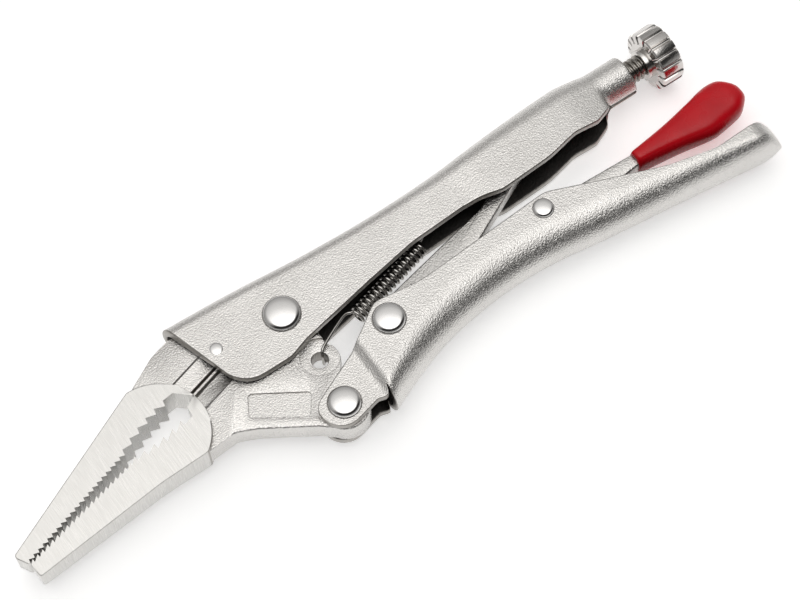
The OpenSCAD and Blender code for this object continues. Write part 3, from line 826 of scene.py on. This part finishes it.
def make_rivets():
    for node, (body, (x, y), shank, head, rise, face) in RIVETS.items():
        end_profile = pin_profile if node == "fixed_jaw_pin" else domed_profile
        top = end_profile(head, rise, face)
        bottom = [(radius, -height) for radius, height in reversed(top)]
        profile = bottom + [(shank, -face + 0.1), (shank, face - 0.1)] + top
        piece = lathe(node + "_turned", (x, y, 0), profile, polished)
        piece.data.set_sharp_from_angle(angle=math.radians(40))
        stand_for(piece, node, body)


# ---- Spring ----

COIL_START = Vector((11.9, -6.5, 0))
COIL_END = Vector((30.6, -1.4, 0))
COIL_R = 1.6
WIRE_R = 0.3
COIL_TURNS = 17
TURN_STEPS = 30
COIL_FIRST = 10  # the angle at which the coil starts, in degrees
WIRE_SIDES = 10
WIRE_TIP = [(0.5, 0.02), (0.4, 0.6)]  # (distance past the wire's end, size), in wire radii
HOOK_STEPS = 6
# The wire's course from its tip through the jaw's hole to the coil, and from the coil to the tab
FRONT_HOOK = [
    (3.2, -9.3, -2.75), (2.4, -9.95, -2.6), (1.95, -10.35, -1.9), (1.95, -10.35, 0), (1.95, -10.35, 1.8),
    (2.3, -9.85, 2.45), (3.1, -9.25, 2.6), (6.2, -7.6, 2.4), (8.6, -6.4, 2.15), (9.6, -5.95, 2),
    (10.5, -5.85, 1.85), (11.2, -6.1, 1.75),
]
REAR_HOOK = [
    (32.5, 0.6, 1.65), (34.5, 1.4, 1.65), (35.8, 1.5, 1.65), (36.5, 1.5, 1.15), (36.7, 1.5, 0),
    (36.5, 1.5, -1.15), (35.8, 1.5, -1.65), (34.5, 1.5, -1.65),
]


def curve_through(points, steps):
    """A smooth curve through points, with steps pieces between neighbours."""
    result = []
    for i in range(len(points) - 1):
        a = points[max(i - 1, 0)]
        b, c = points[i], points[i + 1]
        d = points[min(i + 2, len(points) - 1)]
        for k in range(steps):
            t = k / steps
            bend = 2 * a - 5 * b + 4 * c - d
            twist = 3 * b - a - 3 * c + d
            result.append(0.5 * (2 * b + (c - a) * t + bend * t**2 + twist * t**3))
    return result + [points[-1]]


def tube(name, path, radius, material):
    """A round wire along a path, with rounded ends."""
    side = Vector((0, 0, 1))
    last = len(path) - 1
    rings = []
    for i, at in enumerate(path):
        forward = (path[min(i + 1, last)] - path[max(i - 1, 0)]).normalized()
        side = (side - forward * side.dot(forward)).normalized()
        rings.append((at, forward, side.copy()))
    first, final = rings[0], rings[-1]
    stations = [(first[0] - first[1] * radius * past, *first[1:], size) for past, size in WIRE_TIP]
    stations += [(*ring, 1.0) for ring in rings]
    stations += [(final[0] + final[1] * radius * past, *final[1:], size) for past, size in WIRE_TIP[::-1]]
    points = []
    for at, forward, across, size in stations:
        other = forward.cross(across)
        for k in range(WIRE_SIDES):
            angle = 2 * math.pi * k / WIRE_SIDES
            points.append(at + radius * size * (across * math.cos(angle) + other * math.sin(angle)))
    return new_piece(name, points, grid_faces(len(stations), WIRE_SIDES, closed=True), [material])


def make_spring():
    """A close coil with a hook at each end."""
    axis = (COIL_END - COIL_START).normalized()
    side = Vector((-axis.y, axis.x, 0))
    length = (COIL_END - COIL_START).length
    count = COIL_TURNS * TURN_STEPS
    coil = []
    for i in range(count + 1):
        angle = math.radians(COIL_FIRST - 360 * i / TURN_STEPS)
        at = COIL_START + axis * length * i / count
        coil.append(at + COIL_R * (side * math.sin(angle) + Vector((0, 0, 1)) * math.cos(angle)))
    # each hook's curve runs on over one stretch of the coil, which is then cut off again
    front = [Vector(point) for point in FRONT_HOOK] + [coil[0], coil[HOOK_STEPS]]
    front = curve_through(front, HOOK_STEPS)[:-HOOK_STEPS]
    rear = [coil[-HOOK_STEPS], coil[-1]] + [Vector(point) for point in REAR_HOOK]
    rear = curve_through(rear, HOOK_STEPS)[HOOK_STEPS + 1 :]
    piece = tube("spring_wire", front[:-1] + coil + rear, WIRE_R, spring_steel)
    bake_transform(piece)
    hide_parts("tension_spring")


# ---- Adjusting screw and knob ----

SCREW_TIP = 66.2
SCREW_R = 2.45
THREAD_DEPTH = 0.45
NECK_R = 1.85
NECK_START = 88
NECK_END = 91.9
KNOB_START = 89.4
KNOB_END = 94.4
KNOB_R = 6.15
BOSS_R = 3.1
FLUTES = 16
GROOVE_SHARE = 0.18  # half a flute's width, as a part of the pitch
SIDES_PER_FLUTE = 20
SCREW_SIDES = 36
SCREW_STEP = 0.125
LEAD_IN = 1.2  # the thread rises to its full height over this length at the tip
SCREW_AXIS_R = 0.01


def ring_on_screw(x, radius, sides):
    """A ring of points round the screw's axis."""
    angles = [2 * math.pi * k / sides for k in range(sides)]
    return [(x, SCREW_Y + radius * math.cos(angle), radius * math.sin(angle)) for angle in angles]


def make_screw():
    """A rod with a helical thread of 1 mm pitch, and the plain neck that the knob turns on."""
    count = int((NECK_START - SCREW_TIP) / SCREW_STEP)
    points = ring_on_screw(SCREW_TIP, SCREW_AXIS_R, SCREW_SIDES)
    for i in range(count + 1):
        x = SCREW_TIP + i * SCREW_STEP
        lead = min(1.0, (x - SCREW_TIP) / LEAD_IN)
        for k in range(SCREW_SIDES):
            phase = (i * SCREW_STEP - k / SCREW_SIDES) % 1.0
            # a thread with a broad crest and steep flanks
            height = smooth_step(2.0 - 3.0 * abs(2 * phase - 1))
            radius = SCREW_R - THREAD_DEPTH * (1 - height * lead)
            angle = 2 * math.pi * k / SCREW_SIDES
            points.append((x, SCREW_Y + radius * math.cos(angle), radius * math.sin(angle)))
    neck = [(NECK_START, NECK_R), (NECK_END, NECK_R), (NECK_END, SCREW_AXIS_R)]
    for x, radius in neck:
        points += ring_on_screw(x, radius, SCREW_SIDES)
    rows = 1 + count + 1 + len(neck)
    piece = new_piece("threaded_rod", points, grid_faces(rows, SCREW_SIDES, closed=True), [screw_steel])
    piece.data.set_sharp_from_angle(angle=math.radians(50))
    stand_for(piece, "adjusting_screw", "screw")


def make_knob():
    """A boss and a wide rim with rounded flutes, whose front face is serrated at its edge."""
    sides = FLUTES * SIDES_PER_FLUTE
    inner = NECK_R + 0.06
    face_end = KNOB_START + 0.3  # in front of this the flutes cut into the front face as well
    bore_end = NECK_END + 0.15

    def groove(angle):
        phase = (angle * FLUTES / (2 * math.pi)) % 1.0
        return max(0.0, 1 - (abs(phase - 0.5) / GROOVE_SHARE) ** 2) ** 0.5

    # (distance along the axis, radius, how deep the flutes cut there)
    profile = [
        (NECK_START + 0.1, inner, 0), (NECK_START + 0.1, BOSS_R - 0.3, 0),
        (NECK_START + 0.2, BOSS_R - 0.08, 0), (NECK_START + 0.4, BOSS_R, 0),
        (KNOB_START, BOSS_R, 0), (KNOB_START, BOSS_R + 0.2, 0), (KNOB_START - 0.15, 4.3, 0),
        (KNOB_START, 4.6, 0.15), (KNOB_START, 5.6, 0.3), (KNOB_START + 0.1, 5.9, 0.4),
        (KNOB_START + 0.4, KNOB_R, 0.45), (KNOB_END - 0.5, KNOB_R, 0.45),
        (KNOB_END - 0.15, 6.0, 0.4), (KNOB_END, 5.7, 0.25), (KNOB_END, 5.2, 0), (KNOB_END, SCREW_AXIS_R, 0),
    ]
    points = []
    for x, radius, depth in profile:
        for k in range(sides):
            angle = 2 * math.pi * k / sides
            cut = depth * groove(angle)
            away = radius - cut
            forward = cut if x < face_end else 0
            points.append((x + forward, SCREW_Y + away * math.cos(angle), away * math.sin(angle)))
    faces = grid_faces(len(profile), sides, closed=True)
    bottom = len(points)
    points += ring_on_screw(bore_end, SCREW_AXIS_R, sides)
    bore = len(points)
    points += ring_on_screw(bore_end, inner, sides)
    for k in range(sides):
        other = (k + 1) % sides
        faces.append((k, bore + k, bore + other, other))
        faces.append((bore + k, bottom + k, bottom + other, bore + other))
    piece = new_piece("fluted_knob", points, faces, [knob_steel])
    piece.data.set_sharp_from_angle(angle=math.radians(35))
    stand_for(piece, "screw_knob", "knob")


# ---- Grip ----

GRIP_START = 73.8
GRIP_END = 100.1
GRIP_HALF = 3.1
GRIP_MIDDLE = [(GRIP_START, -10.8), (83, -10.8), (90, -10.75), (94, -10.15), (97, -10), (GRIP_END, -10.4)]
GRIP_REACH = [(GRIP_START, 1.7), (83, 3), (90, 4.35), (94, 4.6), (97, 4.2), (99.5, 2.9)]
GRIP_ROUND = 3.5  # length of the rounded end
GRIP_LIP = [(0.5, 0.45), (0.1, 0.6), (0, 0.75), (0.08, 0.88), (0.3, 0.96), (0.7, 1.0)]  # (way in, size)
GRIP_BODY = 1.5  # the even rows start this far behind the mouth
GRIP_SPACING = 0.8
GRIP_SIDES = 48
GRIP_SQUARE = 0.72  # 1 is an oval section, and less is squarer
GRIP_FULL_END = 0.6  # 1 is an oval end, and less is blunter
GRIP_CENTRE = (88, -10.6, 0)


def make_grip():
    """A dipped coating: a rounded, flattened drop with a rolled lip at its mouth."""
    stations = [(GRIP_START + way, size) for way, size in GRIP_LIP]
    x = GRIP_START + GRIP_BODY
    while x < GRIP_END - GRIP_ROUND:
        stations.append((x, 1.0))
        x += GRIP_SPACING
    for degrees in range(0, 90, 6):
        angle = math.radians(degrees)
        stations.append((GRIP_END - GRIP_ROUND * (1 - math.sin(angle)), math.cos(angle) ** GRIP_FULL_END))
    stations.append((GRIP_END, 0.01))
    points = []
    for x, size in stations:
        middle = along(GRIP_MIDDLE, x)
        reach = along(GRIP_REACH, x)
        for k in range(GRIP_SIDES):
            angle = 2 * math.pi * k / GRIP_SIDES
            up = math.copysign(abs(math.sin(angle)) ** GRIP_SQUARE, math.sin(angle))
            out = math.copysign(abs(math.cos(angle)) ** GRIP_SQUARE, math.cos(angle))
            points.append((x, middle + size * reach * up, size * GRIP_HALF * out))
    piece = new_piece("dipped_grip", points, grid_faces(len(stations), GRIP_SIDES, closed=True), [red_vinyl])
    clean(piece, lambda centre: centre - placed(GRIP_CENTRE))
    stand_for(piece, "lever_grip", "lever")


make_upper_handle()
make_lower_handle()
make_plates()
make_rivets()
make_spring()
make_screw()
make_knob()
make_grip()


# ---- Stage, light and camera ----

FLOOR_HALF = 3.0  # in metres
# The surroundings' brightness, from the horizon (0) to straight overhead (1)
SKY_BEHIND = [(0.0, 0.36), (0.3, 0.40), (0.68, 0.55), (0.85, 0.95), (1.0, 2.1)]
SKY_IN_FRONT = [
    (0.0, 0.40), (0.24, 0.30), (0.36, 0.03), (0.79, 0.03), (0.85, 0.5), (0.90, 2.0), (1.0, 2.3),
]
SKY_TINT = (1, 0.99, 0.975)
SKY_SEAM = 0.25  # half the band over which the front's brightness passes into the back's


def make_floor():
    """A pale floor under the tool, which glows a little so that it stays white."""
    half = FLOOR_HALF
    mesh = bpy.data.meshes.new("floor")
    corners = [(-half, -half, 0), (half, -half, 0), (half, half, 0), (-half, half, 0)]
    mesh.from_pydata(corners, [], [(0, 1, 2, 3)])
    floor = bpy.data.objects.new("floor", mesh)
    bpy.context.scene.collection.objects.link(floor)
    material, tree, shader = new_material("floor_paper")
    shader.inputs["Base Color"].default_value = (0.90, 0.90, 0.90, 1)
    shader.inputs["Emission Color"].default_value = (1, 1, 1, 1)
    shader.inputs["Emission Strength"].default_value = 0.42
    shader.inputs["Roughness"].default_value = 0.9
    shader.inputs["Specular IOR Level"].default_value = 0.1
    mesh.materials.append(material)


def make_sky():
    """A studio's surroundings: bright overhead, grey behind the tool, and dark part of the way up
    in front of it."""
    world = bpy.data.worlds.new("studio")
    bpy.context.scene.world = world
    world.use_nodes = True
    tree = world.node_tree
    background = tree.nodes["Background"]
    place = tree.nodes.new("ShaderNodeTexCoord")
    parts = tree.nodes.new("ShaderNodeSeparateXYZ")
    tree.links.new(place.outputs["Generated"], parts.inputs["Vector"])

    def gradient(stops):
        ramp = tree.nodes.new("ShaderNodeValToRGB")
        tree.links.new(parts.outputs["Z"], ramp.inputs["Fac"])
        elements = ramp.color_ramp.elements
        while len(elements) < len(stops):
            elements.new(0.5)
        for element, (position, grey) in zip(elements, stops):
            element.position = position
            element.color = (*(grey * share for share in SKY_TINT), 1)
        return ramp.outputs["Color"]

    behind = gradient(SKY_BEHIND)
    in_front = gradient(SKY_IN_FRONT)
    mix = tree.nodes.new("ShaderNodeMix")
    mix.data_type = "RGBA"
    tree.links.new(remap(tree, parts.outputs["Y"], 0, 1, -SKY_SEAM, SKY_SEAM), mix.inputs["Factor"])
    tree.links.new(in_front, mix.inputs["A"])
    tree.links.new(behind, mix.inputs["B"])
    tree.links.new(mix.outputs["Result"], background.inputs["Color"])
    background.inputs["Strength"].default_value = 1.0


def make_camera():
    """Looks down on the tool from the side of the lower handle, a little turned about its own axis."""
    azimuth = math.radians(-30.3)
    elevation = math.radians(63)
    roll = math.radians(5)
    distance = 0.45
    target = Vector((0.002947, -0.001432, 0.00655))
    right = Vector((math.cos(azimuth), math.sin(azimuth), 0))
    level = math.cos(elevation)
    back = Vector((math.sin(azimuth) * level, -math.cos(azimuth) * level, math.sin(elevation)))
    up = back.cross(right)
    turned_right = math.cos(roll) * right - math.sin(roll) * up
    turned_up = math.sin(roll) * right + math.cos(roll) * up
    data = bpy.data.cameras.new("camera")
    data.sensor_width = 36
    data.lens = 108
    data.clip_start = 0.05
    data.clip_end = 10
    camera = bpy.data.objects.new("camera", data)
    turn = Matrix((turned_right, turned_up, back)).transposed().to_4x4()
    camera.matrix_world = Matrix.Translation(target + distance * back) @ turn
    bpy.context.scene.collection.objects.link(camera)
    bpy.context.scene.camera = camera


make_floor()
make_sky()
make_camera()
bpy.context.scene.view_settings.view_transform = "Standard"
